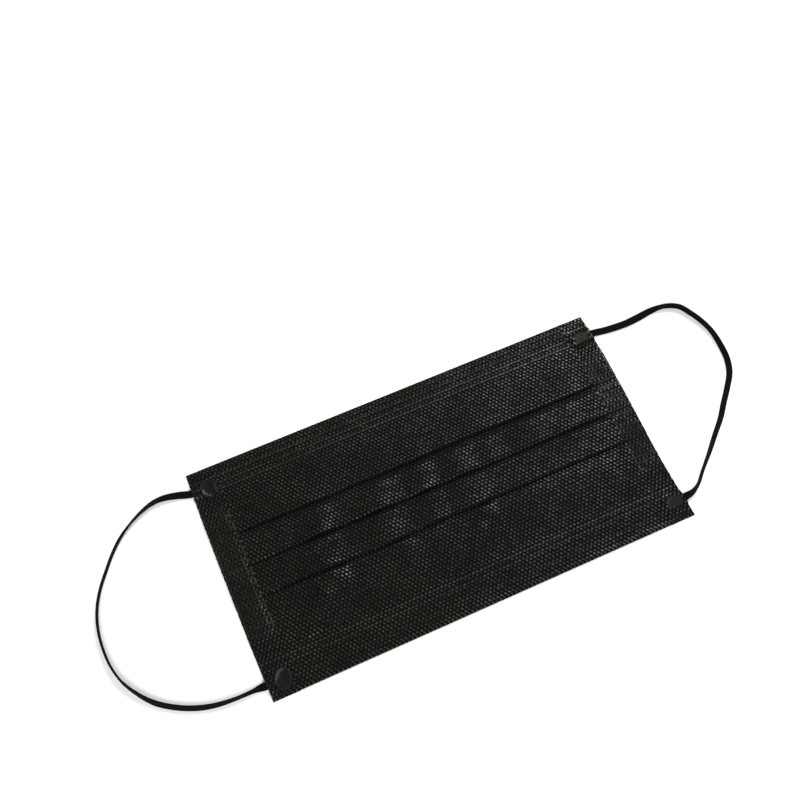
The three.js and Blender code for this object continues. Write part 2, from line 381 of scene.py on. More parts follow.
@cache
def pressed_spots() -> bpy.types.NodeTree:
    """Build the lattice of small slanted spots that holds the fibres of the cloth together.

    Returns:
        The group, which puts out a mask of the spots and a random tone for each one.
    """
    names = ("Pitch", "Row", "Length", "Width", "Slant", "Softness")
    tree, mixer, given, result = new_group("pressed_spots", ("Cloth",), names, ("Mask", "Tone"))
    pitch, row, length, width, slant, softness = (given.outputs[name] for name in names)
    along, across, _ = mixer.split(given.outputs["Cloth"])
    cosine, sine = mixer.math("COSINE", slant), mixer.math("SINE", slant)
    sizes = (pitch, mixer.times(row, 2.0))
    stray = 0.12
    masks, tones = [], []
    for shift in (0.5, 1.0):
        places = [
            mixer.math("ADD", mixer.math("DIVIDE", value, size), shift) for value, size in zip((along, across), sizes)
        ]
        random = mixer.random(mixer.join(*(mixer.math("FLOOR", place) for place in places), shift), "3D")
        local = []
        for place, size, chance in zip(places, sizes, mixer.split(random.outputs["Color"])):
            middle = mixer.scaled(chance, stray, 0.5 - stray / 2)
            local.append(mixer.times(mixer.math("SUBTRACT", mixer.math("FRACT", place), middle), size))
        ahead = mixer.math("ADD", mixer.times(local[0], cosine), mixer.times(local[1], sine))
        aside = mixer.math("SUBTRACT", mixer.times(local[1], cosine), mixer.times(local[0], sine))
        squares = [
            mixer.math("POWER", mixer.math("DIVIDE", reach, size), 2.0)
            for reach, size in ((ahead, length), (aside, width))
        ]
        away = mixer.math("SQRT", mixer.math("ADD", *squares))
        mask = mixer.rest(mixer.step(away, mixer.rest(softness), mixer.math("ADD", 1.0, softness)))
        masks.append(mask)
        tones.append(mixer.times(mask, random.outputs["Value"]))
    mixer.fill(result, {"Mask": mixer.math("MAXIMUM", *masks), "Tone": mixer.math("MAXIMUM", *tones)})
    return tree


@cache
def fibre_grain() -> bpy.types.NodeTree:
    """Build the tangle of fine fibres between the pressed spots.

    Returns:
        The group, which puts out a height and a slow patchy tone.
    """
    tree, mixer, given, result = new_group("fibre_grain", ("Cloth",), ("Stretch",), ("Height", "Patches"))
    cloth = given.outputs["Cloth"]
    along, across, _ = mixer.split(cloth)
    strands = mixer.noise(mixer.join(along, mixer.times(across, given.outputs["Stretch"])), 2600.0, 3.0)
    lumps = mixer.noise(cloth, 620.0)
    height = mixer.scaled(strands, 0.65, mixer.times(lumps, 0.35))
    mixer.fill(result, {"Height": height, "Patches": mixer.noise(cloth, 60.0, 3.0)})
    return tree


@cache
def weld_row() -> bpy.types.NodeTree:
    """Build a row of short pressed dashes.

    Returns:
        The group, which puts out a mask of the dashes.
    """
    names = ("Along", "Across", "Place", "Pitch", "Filled", "Thickness")
    tree, mixer, given, result = new_group("weld_row", (), names, ("Mask",))
    along, across, place, pitch, filled, thickness = (given.outputs[name] for name in names)
    wander = mixer.noise(mixer.join(along, place), 260.0, 1.0)
    moved = mixer.scaled(wander, 0.3, mixer.math("DIVIDE", along, pitch))
    half = mixer.times(filled, 0.5)
    beside = mixer.away(mixer.math("FRACT", moved), 0.5)
    dash = mixer.rest(mixer.step(beside, mixer.math("SUBTRACT", half, 0.1), half))
    near = mixer.rest(mixer.step(mixer.away(across, place), 0.0, thickness))
    random = mixer.random(mixer.join(mixer.math("FLOOR", moved), place), "2D")
    strength = mixer.scaled(random.outputs["Value"], 0.7, 0.3)
    mixer.feed(result.inputs["Mask"], mixer.times(mixer.times(dash, near), strength))
    return tree


def grey(value: float, warmth: float = 0.0) -> tuple[float, float, float, float]:
    """Return a nearly neutral colour; warmth is how far blue is below it, and red is an eighth of that above it."""
    return (value * (1.0 + 0.125 * warmth), value, value * (1.0 - warmth), 1.0)


@dataclass(frozen=True)
class Finish:
    """What a piece is made of."""

    name: str

    def begin(self) -> tuple[Material, Mixer, Node]:
        """Start a material with one plain shader.

        Returns:
            The material, a mixer on its nodes and its shader.
        """
        made = bpy.data.materials.new(self.name)
        made.use_nodes = True
        return made, Mixer(made.node_tree), made.node_tree.nodes["Principled BSDF"]

    def material(self) -> Material:
        """Return the material, built on first use."""
        return bpy.data.materials.get(self.name) or self.build()

    def build(self) -> Material:
        """Return the finished material; each kind of finish has its own."""
        return self.begin()[0]

    @staticmethod
    def bump(mixer: Mixer, shader: Node, height: Given, distance: float) -> None:
        """Give the surface fine relief.

        Args:
            mixer: the material's mixer.
            shader: the shader that gets it.
            height: 0 to 1.
            distance: how high 1 stands, in millimetres.
        """
        made = mixer.node("ShaderNodeBump", {"Strength": 1.0, "Distance": distance * MM, "Height": height})
        mixer.feed(shader.inputs["Normal"], made.outputs["Normal"])


@dataclass(frozen=True)
class Nonwoven(Finish):
    """Black spunbond cloth with a lattice of pressed spots, and rows of weld dashes where it has them."""

    dark: float = 0.001
    dark_warmth: float = 0.1
    ground: float = 0.0075
    spot: float = 0.02
    warmth: float = 0.2
    gloss: float = 0.66
    gloss_roughness: float = 0.36
    specular: float = 0.03
    roughness: Point = (0.95, 0.6)
    patches: Point = (0.62, 1.36)
    patch_edges: Point = (0.3, 0.7)
    stretch: float = 0.45
    strands: Point = (1.3, -0.1)
    grain_height: float = 0.5
    spot_random: float = 0.75
    spot_even: float = 0.3
    spot_length: float = 0.46
    spot_width: float = 0.29
    spot_softness: float = 0.4
    spot_dent: float = 0.45
    slant: float = 0.75
    # Painted shadow beside each pressed spot: a copy of the lattice, moved aside and grown, darkens the ground colour
    # by this share.
    spot_shadow_aside: Point = (0.62, 0.22)
    spot_shadow_growth: float = 1.15
    spot_shadow_strength: float = 0.75
    dash_thickness: float = 0.42
    dash_dent: float = 0.5
    relief: float = 0.1
    rows: tuple[tuple[float, float, float], ...] = ()

    def spots(self, mixer: Mixer, cloth: Given, aside: Point = (0.0, 0.0), growth: float = 1.0) -> Node:
        """Lay the lattice of spots.

        Args:
            mixer: the material's mixer.
            cloth: the place on the flat cloth.
            aside: how far the lattice is moved, in millimetres.
            growth: how much larger the spots are.

        Returns:
            The group's node.
        """
        shift = (aside[0] * MM, aside[1] * MM, 0.0)
        moved = mixer.node("ShaderNodeVectorMath", {0: cloth, 1: shift}, operation="ADD")
        return mixer.group(
            pressed_spots(), Cloth=moved.outputs[0], Pitch=PITCH * MM, Row=ROW * MM, Slant=self.slant,
            Length=self.spot_length * growth * MM, Width=self.spot_width * growth * MM, Softness=self.spot_softness,
        )

    def dashes(self, mixer: Mixer, along: Given, across: Given, light: Given, height: Given) -> tuple[Given, Given]:
        """Lay the rows of weld dashes over the cloth.

        Args:
            mixer: the material's mixer.
            along: the place along the mask.
            across: the place across it.
            light: how bright the cloth is without them.
            height: how high it stands without them.

        Returns:
            The brightness and the height with them.
        """
        for line, strength, filled in self.rows:
            mask = mixer.group(
                weld_row(), Along=along, Across=across, Place=line * MM, Pitch=PITCH * MM, Filled=filled,
                Thickness=self.dash_thickness * MM,
            ).outputs["Mask"]
            light = mixer.scaled(mask, strength, light)
            height = mixer.scaled(mask, -self.dash_dent, height)
        return light, height

    def dress(
        self, mixer: Mixer, shader: Node, cloth: Given, mask: Given, strands: Given, light: Given, height: Given,
    ) -> None:
        """Give the cloth its colour, gloss and relief, and paint a shadow beside each pressed spot.

        Args:
            mixer: the material's mixer.
            shader: the material's shader.
            cloth: the place on the cloth.
            mask: of the pressed spots.
            strands: how much the fibres catch the light.
            light: how bright the spots and dashes are.
            height: how high each place stands.
        """
        # Painted shadow: the moved copy of the spot lattice darkens the ground next to each spot, where shade would
        # fall.
        spot_shadows = self.spots(mixer, cloth, self.spot_shadow_aside, self.spot_shadow_growth).outputs["Mask"]
        shaded = mixer.times(strands, mixer.scaled(spot_shadows, -self.spot_shadow_strength, 1.0))
        ground = mixer.mix(shaded, grey(self.dark, self.dark_warmth), grey(self.ground, self.warmth), Look.COLOUR)
        mixer.fill(shader, {
            "Base Color": mixer.mix(light, ground, grey(self.spot, self.warmth), Look.COLOUR),
            "Roughness": mixer.mix(mask, *self.roughness, Look.VALUE),
            "Coat Weight": mixer.times(light, self.gloss),
            "Coat Roughness": self.gloss_roughness,
            "Specular IOR Level": self.specular,
        })
        self.bump(mixer, shader, mixer.math("ADD", height, 0.5), self.relief)

    def build(self) -> Material:
        """Make the cloth.

        Returns:
            Its material.
        """
        made, mixer, shader = self.begin()
        cloth = mixer.cloth()
        along, across, _ = mixer.split(mixer.node("ShaderNodeTexCoord").outputs["Object"])
        mask, tone = self.spots(mixer, cloth).outputs
        grain, patches = mixer.group(fibre_grain(), Cloth=cloth, Stretch=self.stretch).outputs
        light = mixer.scaled(tone, self.spot_random, mixer.times(mask, self.spot_even))
        light = mixer.times(light, mixer.step(patches, *self.patch_edges, *self.patches))
        height = mixer.scaled(mask, -self.spot_dent, mixer.times(grain, self.grain_height))
        light, height = self.dashes(mixer, along, across, light, height)
        self.dress(mixer, shader, cloth, mask, mixer.scaled(grain, *self.strands), light, height)
        return made


@dataclass(frozen=True)
class EndBand(Nonwoven):
    """The same cloth at the end weld: flatter where it presses the pleats, and bright along its inner side."""

    patches: Point = (0.4, 1.4)
    strands: Point = (1.6, -0.2)
    grain_height: float = 0.6
    spot_random: float = 0.8
    spot_even: float = 0.2
    column: float = 1.6
    column_outside: float = 0.4
    column_width: float = 1.6
    column_fade: float = 1.2
    ladder: float = 0.3
    ladder_edges: Point = (0.1, 1.0)
    ladder_lumps: float = 420.0
    ladder_gaps: Point = (0.4, 0.65)
    pressed_dim: float = 0.35
    pressed_strands: float = 0.2
    cut_place: float = 10.3
    cut_shine: float = 0.6
    cut_pitch: float = 1.3
    cut_filled: float = 0.6
    cut_thickness: float = 0.4
    pleats: Point = (-21.0, 27.0)
    pleats_fade: Point = (5.0, 4.0)

    def build(self) -> Material:
        """Make the end band's cloth.

        Returns:
            Its material.
        """
        made, mixer, shader = self.begin()
        inward, _, _ = mixer.split(mixer.cloth())
        place = mixer.node("ShaderNodeTexCoord").outputs["Object"]
        along, across, _ = mixer.split(place)
        grain, patches = mixer.group(fibre_grain(), Cloth=place, Stretch=self.stretch).outputs
        mask, tone = self.spots(mixer, place).outputs
        (low, high), (fade_low, fade_high) = self.pleats, self.pleats_fade
        zone = mixer.times(
            mixer.step(across, (low - fade_low) * MM, low * MM),
            mixer.rest(mixer.step(across, high * MM, (high + fade_high) * MM)),
        )
        light = mixer.scaled(tone, self.spot_random, mixer.times(mask, self.spot_even))
        light = mixer.times(light, mixer.scaled(zone, -self.pressed_dim, 1.0))
        wave = mixer.math("COSINE", mixer.times(along, TAU / (PITCH * MM)))
        uneven = mixer.noise(mixer.join(mixer.times(along, 2.0), across), self.ladder_lumps)
        ladder = mixer.times(mixer.step(wave, *self.ladder_edges), mixer.step(uneven, *self.ladder_gaps))
        light = mixer.scaled(mixer.times(ladder, zone), self.ladder, light)
        light = mixer.times(light, mixer.step(patches, *self.patch_edges, *self.patches))
        end = self.column_width + self.column_fade
        column = mixer.rest(mixer.step(inward, self.column_width * MM, end * MM))
        column = mixer.times(column, mixer.scaled(zone, self.column, self.column * self.column_outside))
        light = mixer.times(light, mixer.math("ADD", column, 1.0))
        cut = mixer.group(
            weld_row(), Along=across, Across=inward, Place=self.cut_place * MM, Pitch=self.cut_pitch * MM,
            Filled=self.cut_filled, Thickness=self.cut_thickness * MM,
        )
        light = mixer.scaled(cut.outputs["Mask"], self.cut_shine, light)
        height = mixer.scaled(mask, -self.spot_dent, mixer.times(grain, self.grain_height))
        light, height = self.dashes(mixer, along, across, light, height)
        gain, least = self.strands
        strands = mixer.scaled(grain, gain, mixer.scaled(zone, self.pressed_strands, least))
        self.dress(mixer, shader, place, mask, strands, light, height)
        return made


@dataclass(frozen=True)
class Melted(Finish):
    """Cloth melted smooth where an ear loop is welded on, crinkled on one side, with painted highlights: light streaks
    along the crinkles and a light crescent at the rim, on one side.
    """

    shade: float
    blue: float
    half_size: Point
    # The side that the painted highlights lie on, and how strong the painted highlights along the crinkles and in the
    # crescent at the rim are.
    highlight_side: float
    crinkle_highlight: float
    rim: float
    fray: float = 0.0065
    fray_edges: Point = (0.9, 1.3)
    clouds: Point = (0.6, 1.35)
    crinkle_edges: Point = (0.48, 0.62)
    crinkle_highlight_side: Point = (0.3, 0.75)
    crescent_side: Point = (0.45, 0.75)
    crescent_out: Point = (0.6, 0.8)
    highlight: float = 0.2
    roughness: Point = (0.42, 0.6)
    specular: float = 0.07
    relief: float = 0.08

    def build(self) -> Material:
        """Make the melted cloth of a spot.

        Returns:
            Its material.
        """
        made, mixer, shader = self.begin()
        cloth = mixer.cloth()
        along, across, _ = mixer.split(cloth)
        right, up = (
            mixer.math("DIVIDE", value, half * MM) for value, half in zip((along, across), self.half_size)
        )
        out = mixer.math("SQRT", mixer.math("ADD", *(mixer.math("POWER", value, 2.0) for value in (right, up))))
        towards = mixer.math(
            "ADD", mixer.times(right, math.cos(self.highlight_side)), mixer.times(up, math.sin(self.highlight_side))
        )
        crinkle = mixer.noise(mixer.join(mixer.times(along, 1.5), across), 620.0, 3.0)
        cloudy = mixer.noise(cloth, 420.0, 3.0)
        # Painted highlights: light streaks along the crinkles and a light crescent near the outline, both on one side
        # of the spot, mixed into the base colour.
        lines = mixer.times(mixer.step(crinkle, *self.crinkle_edges), mixer.step(towards, *self.crinkle_highlight_side))
        crescent_highlight = mixer.times(mixer.step(towards, *self.crescent_side), mixer.step(out, *self.crescent_out))
        painted_highlights = mixer.scaled(lines, self.crinkle_highlight, mixer.times(crescent_highlight, self.rim))
        low, high = (
            (self.shade * share, self.shade * share, self.shade * share * self.blue, 1.0) for share in self.clouds
        )
        base = mixer.mix(cloudy, low, high, Look.COLOUR)
        frayed = mixer.step(mixer.scaled(crinkle, 0.5, out), *self.fray_edges)
        base = mixer.mix(frayed, base, grey(self.fray, 0.2), Look.COLOUR)
        mixer.fill(shader, {
            "Base Color": mixer.mix(painted_highlights, base, grey(self.highlight, 0.05), Look.COLOUR),
            "Roughness": mixer.step(cloudy, 0.3, 0.7, *self.roughness),
            "Specular IOR Level": self.specular,
        })
        self.bump(mixer, shader, crinkle, self.relief)
        return made


@dataclass(frozen=True)
class Elastic(Finish):
    """Flat knitted elastic."""

    shade: float = 0.003
    shade_shares: Point = (0.45, 2.1)
    roughness: Point = (0.78, 0.55)
    specular: float = 0.04
    sheen: float = 0.006
    rib: float = 0.5
    stitch: float = 0.55
    fuzz: Point = (0.8, 0.4)
    fuzz_height: float = 0.3
    relief: float = 0.09

    def build(self) -> Material:
        """Make the knitted elastic.

        Returns:
            Its material.
        """
        made, mixer, shader = self.begin()
        strap = mixer.cloth()
        across, along, _ = mixer.split(strap)
        rib = mixer.scaled(mixer.math("COSINE", mixer.times(across, TAU / (self.rib * MM))), 0.5, 0.5)
        lean = mixer.times(mixer.away(rib, 0.5), 0.5)
        stitch = mixer.math("FRACT", mixer.math("ADD", mixer.math("DIVIDE", along, self.stitch * MM), lean))
        loops = mixer.rest(mixer.step(mixer.away(stitch, 0.5), 0.1, 0.5))
        fuzz = mixer.noise(strap, 2200.0)
        height = mixer.times(rib, loops)
        shine = mixer.times(height, mixer.scaled(fuzz, *self.fuzz))
        low, high = self.shade_shares
        mixer.fill(shader, {
            "Base Color": mixer.mix(shine, grey(self.shade * low), grey(self.shade * high, -0.03), Look.COLOUR),
            "Roughness": mixer.mix(height, *self.roughness, Look.VALUE),
            "Specular IOR Level": self.specular,
            "Sheen Weight": self.sheen,
            "Sheen Roughness": 0.5,
        })
        self.bump(mixer, shader, mixer.scaled(fuzz, self.fuzz_height, height), self.relief)
        return made


@dataclass(frozen=True)
class SoftMetal(Finish):
    """The dull aluminium of the nose wire."""

    shades: Point = (0.5, 0.68)
    roughness: Point = (0.34, 0.5)
    relief: float = 0.02

    def build(self) -> Material:
        """Make the wire's metal.

        Returns:
            Its material.
        """
        made, mixer, shader = self.begin()
        along, across, _ = mixer.split(mixer.cloth())
        drawn = mixer.noise(mixer.join(mixer.times(along, 0.05), across), 5000.0)
        mixer.fill(shader, {
            "Base Color": mixer.mix(drawn, *(grey(shade) for shade in self.shades), Look.COLOUR),
            "Roughness": mixer.step(drawn, 0.2, 0.8, *self.roughness),
            "Metallic": 1.0,
        })
        self.bump(mixer, shader, drawn, self.relief)
        return made


@dataclass(frozen=True)
class Paper(Finish):
    """The plain white floor, which is open from underneath and lets light reach what lies on it from below."""

    shade: float = 0.86
    reach: Point = (2.0, 4.0)

    def build(self) -> Material:
        """Make the floor's paper.

        Returns:
            Its material.
        """
        made, mixer, shader = self.begin()
        mixer.fill(shader, {"Base Color": grey(self.shade), "Roughness": 0.9, "Specular IOR Level": 0.1})
        back = mixer.node("ShaderNodeNewGeometry").outputs["Backfacing"]
        path = mixer.node("ShaderNodeLightPath")
        near = mixer.rest(mixer.step(path.outputs["Ray Length"], *(length * MM for length in self.reach)))
        bounced = mixer.rest(path.outputs["Is Camera Ray"])
        clear = mixer.node("ShaderNodeBsdfTransparent")
        opened = mixer.math("MAXIMUM", back, mixer.times(near, bounced))
        either = mixer.node("ShaderNodeMixShader", {0: opened, 1: shader.outputs[0], 2: clear.outputs[0]})
        mixer.feed(made.node_tree.nodes["Material Output"].inputs["Surface"], either.outputs[0])
        return made


# ---- the cloth ----


# How finely the cloth's way is laid out: the longest step, and how many steps make a fold and an edge.
COURSE_STEP = 0.15
FOLD_STEPS = 6
EDGE_STEPS = 4


@dataclass(frozen=True)
class Pleat:
    """One pleat: where its folded edge lies, and how far the cloth is tucked in above it."""

    edge: float
    depth: float
    seed: int


@dataclass
class Course:
    """The cloth's way from the nose edge to the chin edge, as a section through the mask.

    Each point has a place in Y, a level counted in layers of cloth, and a rise above the surface at level 0.
    """

    points: list[tuple[float, float, float, bool, bool]] = field(default_factory=list)

    def add(self, place: float, level: float, rise: float, hidden: bool = False, turning: bool = False) -> None:
        """Add a point, which other cloth may hide and which may lie on a fold."""
        self.points.append((place, level, rise, hidden, turning))

    def run(self, place: float, level: float, rise: float, hidden: bool = False) -> None:
        """Go on to a point by a soft slope.

        Args:
            place: in Y.
            level: in layers.
            rise: above the surface.
            hidden: whether other cloth covers this stretch.
        """
        start = self.points[-1]
        steps = max(2, math.ceil(abs(place - start[0]) / COURSE_STEP))
        for i in range(1, steps + 1):
            t = i / steps
            soft = t * t * (3.0 - 2.0 * t)
            self.add(
                start[0] + t * (place - start[0]),
                start[1] + soft * (level - start[1]),
                start[2] + soft * (rise - start[2]),
                hidden,
            )

    def fold(self, centre: float, reach: float, level: float, rise: float, hidden: bool) -> None:
        """Turn round a fold, from one level down to the next.

        Args:
            centre: of the fold, in Y.
            reach: how far the cloth's middle goes beyond it, less than 0 towards the chin edge.
            level: at which the fold begins.
            rise: above the surface.
            hidden: whether other cloth covers it.
        """
        for angle in np.linspace(0.0, math.pi, FOLD_STEPS + 1).tolist():
            self.add(centre + reach * math.sin(angle), level - 0.5 + 0.5 * math.cos(angle), rise, hidden, True)


@dataclass
class PleatedPanel:
    """The mask's cloth: one sheet, pleated three times, with its upper and lower edges turned under."""

    thickness: float = 0.42
    layer: float = 0.54
    layer_at_ends: float = 0.47
    lowest: float = 0.24
    chin_rise: float = 0.4
    over_hem: float = 0.58
    over_wire: float = 1.1
    below_wire: float = 0.88
    above_pleats: float = 0.93
    edge_radius: float = 0.29
    fold_reach: float = 0.31
    spot_depth: float = 0.06
    edge_spring: float = 0.22
    weld_dent: float = 0.11
    weld_breadth: float = 0.34
    weld_pitch: float = 1.8
    end_fade: float = 9.0
    swell: float = 0.35
    swell_reach: float = 4.0
    spring_reach: float = 3.2
    bend: float = 0.28
    bend_reach: float = 6.0
    pleats: tuple[Pleat, ...] = (Pleat(16.8, 10.5, 11), Pleat(3.4, 10.5, 12), Pleat(-10.0, 10.5, 13))
    top_welds: tuple[float, ...] = (42.6, 39.7, 37.0)
    bottom_welds: tuple[float, ...] = (-33.7, -36.4, -42.0)
    ridges: tuple[Ridge, ...] = (
        Ridge((70.0, 30.0), (70.0, 32.0), 24.0, 0.5),
        Ridge((-60.0, -17.0), (62.0, -17.0), 12.0, 0.2),
        Ridge((-63.0, 5.0), (-61.0, 12.0), 7.5, 0.6),
        Ridge((-48.5, 4.0), (-46.5, 11.5), 10.0, 1.2),
        Ridge((-52.0, -8.0), (-50.0, 0.0), 11.0, 1.2),
        Ridge((-27.5, 4.0), (-24.0, 11.5), 9.5, 0.85),
        Ridge((-19.0, 6.0), (-18.0, 12.0), 8.5, 0.8),
        Ridge((-25.0, -8.0), (-24.0, 0.0), 11.0, 1.0),
        Ridge((-4.5, 4.0), (-2.5, 12.0), 8.0, 0.88),
        Ridge((-6.0, -8.0), (-5.0, 0.0), 8.0, 0.65),
        Ridge((11.0, 5.0), (12.5, 11.5), 9.5, 0.75),
        Ridge((12.0, -7.0), (13.0, 0.0), 11.0, 0.5),
        Ridge((26.0, 5.0), (27.0, 11.0), 7.0, 0.4),
        Ridge((44.0, 5.0), (46.0, 10.0), 12.0, 0.45),
        Ridge((60.0, 5.0), (63.0, 9.0), 10.0, 0.45),
        Ridge((-63.5, -31.0), (-62.5, -26.0), 7.0, 1.15),
        Ridge((-59.0, -26.0), (-57.0, -19.5), 7.5, 1.25),
        Ridge((-52.5, -20.0), (-49.5, -15.5), 9.0, 1.25),
        Ridge((-21.5, -22.0), (-19.5, -15.5), 7.0, 0.75),
        Ridge((7.0, -23.5), (9.0, -20.0), 6.0, 0.7),
        Ridge((11.0, -19.5), (14.0, -15.0), 6.5, 0.75),
    )
    waviness: Unevenness = Unevenness(5, 30.0, 0.035)
    softness: Unevenness = Unevenness(8, 9.0, 0.022)

    def course(self) -> Course:
        """Lay out the section through the panel.

        Returns:
            The section, from the nose edge to the chin edge.
        """
        turn = Course()
        inset = HALF_HEIGHT - self.thickness / 2 - self.edge_radius
        base = self.over_hem - 0.09
        rounding = [
            (inset + self.edge_radius * math.cos(angle), base + self.edge_radius * math.sin(angle))
            for angle in np.linspace(0.0, math.pi / 2, EDGE_STEPS + 1).tolist()
        ]
        for place, rise in rounding:
            turn.add(place, 0.0, rise, False, True)
        for place, rise in (
            (46.0, self.over_wire), (43.0, self.over_wire), (41.6, self.below_wire), (37.5, self.above_pleats),
        ):
            turn.run(place, 0.0, rise)
        turn.run(self.pleats[0].edge + self.pleats[0].depth - 0.3, 2.0, self.lowest)
        clearance = self.thickness / 2 + self.fold_reach
        for k, pleat in enumerate(self.pleats):
            top = pleat.edge + pleat.depth
            turn.run(pleat.edge + clearance, 2.0, self.lowest)
            turn.fold(pleat.edge + clearance, -self.fold_reach, 2.0, self.lowest, False)
            turn.run(top - clearance, 1.0, self.lowest, True)
            turn.fold(top - clearance, self.fold_reach, 1.0, self.lowest, True)
            turn.run(pleat.edge + 0.3, 0.0, self.lowest, True)
            if k + 1 < len(self.pleats):
                following = self.pleats[k + 1]
                turn.run(following.edge + following.depth - 0.4, 2.0, self.lowest)
        for place, rise in (
            (-15.0, self.chin_rise), (-31.0, self.chin_rise), (-33.0, self.over_hem), (-44.5, self.over_hem),
            (-rounding[-1][0], rounding[-1][1]),
        ):
            turn.run(place, 0.0, rise)
        for place, rise in rounding[-2::-1]:
            turn.add(-place, 0.0, rise, False, True)
        return turn

    def stations(self, turn: Course) -> tuple[Array, Array, Array, Array]:
        """Choose the rows of the mesh.

        Args:
            turn: the section through the panel.

        Returns:
            For each row its length along the cloth, place, level and rise.
        """
        places, levels, rises, hidden, turning = (np.array(values) for values in zip(*turn.points))
        heights = rises + levels * self.layer
        lengths = np.concatenate([[0.0], np.cumsum(np.hypot(np.diff(places), np.diff(heights)))])
        folds = lengths[turning]
        nearest = [
            float(lengths[np.argmin(np.abs(places - line - shift))])
            for line in (*self.top_welds, *self.bottom_welds)
            for shift in (-0.35, 0.0, 0.35)
        ]
        fixed = np.sort(np.concatenate([folds, nearest]))
        regular = np.arange(0.0, lengths[-1], ROW / 2)
        covered = np.interp(regular, lengths, hidden.astype(float)) > 0.5
        even = np.arange(len(regular)) % 2 == 0
        regular = regular[~covered | even]
        close = np.min(np.abs(regular[:, None] - fixed[None, :]), axis=1) < 0.16
        rows = np.unique(np.round(np.concatenate([fixed, regular[~close]]), 4))
        return rows, *(np.interp(rows, lengths, values) for values in (places, levels, rises))

    def columns(self) -> Array:
        """Return the places of the mesh's columns in X."""
        count = math.floor((CLOTH_END - 0.2) / (PITCH / 2))
        return np.concatenate([[-CLOTH_END], np.arange(-count, count + 1) * (PITCH / 2), [CLOTH_END]])

    def middle(self) -> tuple[Array, Array]:
        """Lay out the middle of the cloth.

        Returns:
            The grid of its points, and each point's place on the flat cloth.
        """
        rows, places, levels, rises = self.stations(self.course())
        x, length = np.meshgrid(self.columns(), rows)
        y = np.repeat(places[:, None], x.shape[1], 1)
        level = np.repeat(levels[:, None], x.shape[1], 1)
        rise = np.repeat(rises[:, None], x.shape[1], 1)
        inward = 1.0 - smooth(CLOTH_END - self.end_fade, CLOTH_END, np.abs(x))
        layer = self.layer_at_ends + (self.layer - self.layer_at_ends) * inward
        for pleat in self.pleats:
            wave = Unevenness(pleat.seed, 34.0, 0.5).at(x, pleat.edge)
            at_edge = np.exp(-(((y - pleat.edge) / self.swell_reach) ** 2))
            layer = layer * (1.0 + self.swell * np.clip(wave, -0.4, 1.2) * inward * at_edge)
            bend = Unevenness(pleat.seed + 20, 70.0, self.bend).at(x, 0.0) * inward
            above = np.exp(-np.clip(y - pleat.edge, 0.0, 30.0) / self.spring_reach) * (y > pleat.edge - 1.5)
            rise = rise + self.edge_spring * above * np.clip(level, 0.0, 2.0) / 2.0 * inward
            at_fold = float(np.mean(rows[(levels > 1.2) & (levels < 1.8) & (np.abs(places - pleat.edge) < 2.0)]))
            y = y + bend * np.exp(-(((length - at_fold) / self.bend_reach) ** 2))
        lift = sum(ridge.lift(x, y) for ridge in self.ridges) * inward
        open_cloth = smooth(-33.0, -30.0, y) * (1.0 - smooth(30.0, 38.0, y))
        lift = lift * open_cloth + np.maximum(self.waviness.at(x, y) + 0.06, 0.0) * inward * open_cloth
        z = rise + level * layer + lift * (0.3 + 0.35 * level + 0.7 * (y < self.pleats[-1].edge - 1.0))
        z = z + self.softness.at(x, y) * (level > 1.5) * inward
        for line in (*self.top_welds, *self.bottom_welds):
            stitches = 0.6 + 0.4 * np.cos(TAU * x / self.weld_pitch)
            z = z - self.weld_dent * np.exp(-(((y - line) / self.weld_breadth) ** 2)) * stitches
        return np.stack([x, y, z], -1), np.stack([x, length], -1)

    def faces(self) -> tuple[Array, Array, Array]:
        """Lay out both faces of the cloth.

        Returns:
            The grids of the outer and inner face, and each point's place on the flat cloth.
        """
        middle, cloth = self.middle()
        outer, inner = shell(middle, self.thickness)
        dents = self.spot_depth * lattice(cloth[..., 0], cloth[..., 1])[..., None] * (outer - inner) / self.thickness
        return outer - dents, inner + dents * 0.6, cloth

    def end_profile(self, places: Array) -> Array:
        """Find the top of the panel at its end.

        Args:
            places: in Y.

        Returns:
            The height there of whatever cloth lies on top.
        """
        outer = self.faces()[0][:, -1, 1:]
        low, high = outer[:-1], outer[1:]
        span = high[:, 0] - low[:, 0]
        share = (places[:, None] - low[None, :, 0]) / np.where(np.abs(span) < 1e-6, 1e-6, span)[None, :]
        heights = low[None, :, 1] + share * (high[:, 1] - low[:, 1])[None, :]
        return np.max(np.where((share >= 0.0) & (share <= 1.0), heights, 0.2), axis=1)

    def build(self, finish: Finish) -> Piece:
        """Build and dress the panel.

        Args:
            finish: its cloth.

        Returns:
            The panel.
        """
        made = closed_grid("pleated_cloth", *self.faces())
        install(made, finish, ["pleated_panel"], "cloth")
        return made


@dataclass
class Hem:
    """The cloth turned under at the nose edge or the chin edge."""

    name: str
    node: str
    outward: float
    depth: float
    thickness: float = 0.32
    level: float = 0.19
    edge_radius: float = 0.28
    inset: float = 47.0

    def build(self, finish: Finish) -> Piece:
        """Build and dress the hem.

        Args:
            finish: its cloth.

        Returns:
            The hem.
        """
        angles = np.radians(np.linspace(0.0, -90.0, 6))
        turn = np.stack([self.inset + self.edge_radius * np.cos(angles),
                         self.level + self.edge_radius * (1.0 + np.sin(angles))], -1)
        flat = np.linspace(self.inset, HALF_HEIGHT - self.depth, 24)[1:]
        section = np.concatenate([turn, np.stack([flat, np.full(len(flat), self.level)], -1)])
        if self.outward < 0:
            section = section[::-1]
        x = np.linspace(-CLOTH_END, CLOTH_END, 120)
        y = np.repeat(self.outward * section[:, :1], len(x), 1)
        soft = np.maximum(Unevenness(31, 18.0, 0.012).at(x[None, :], y), -0.02)
        z = np.repeat(section[:, 1:], len(x), 1) + soft
        middle = np.stack([np.repeat(x[None, :], len(section), 0), y, z], -1)
        made = closed_grid(self.name, *shell(middle, self.thickness), middle[..., :2])
        install(made, finish, [self.node], "hem_cloth")
        return made


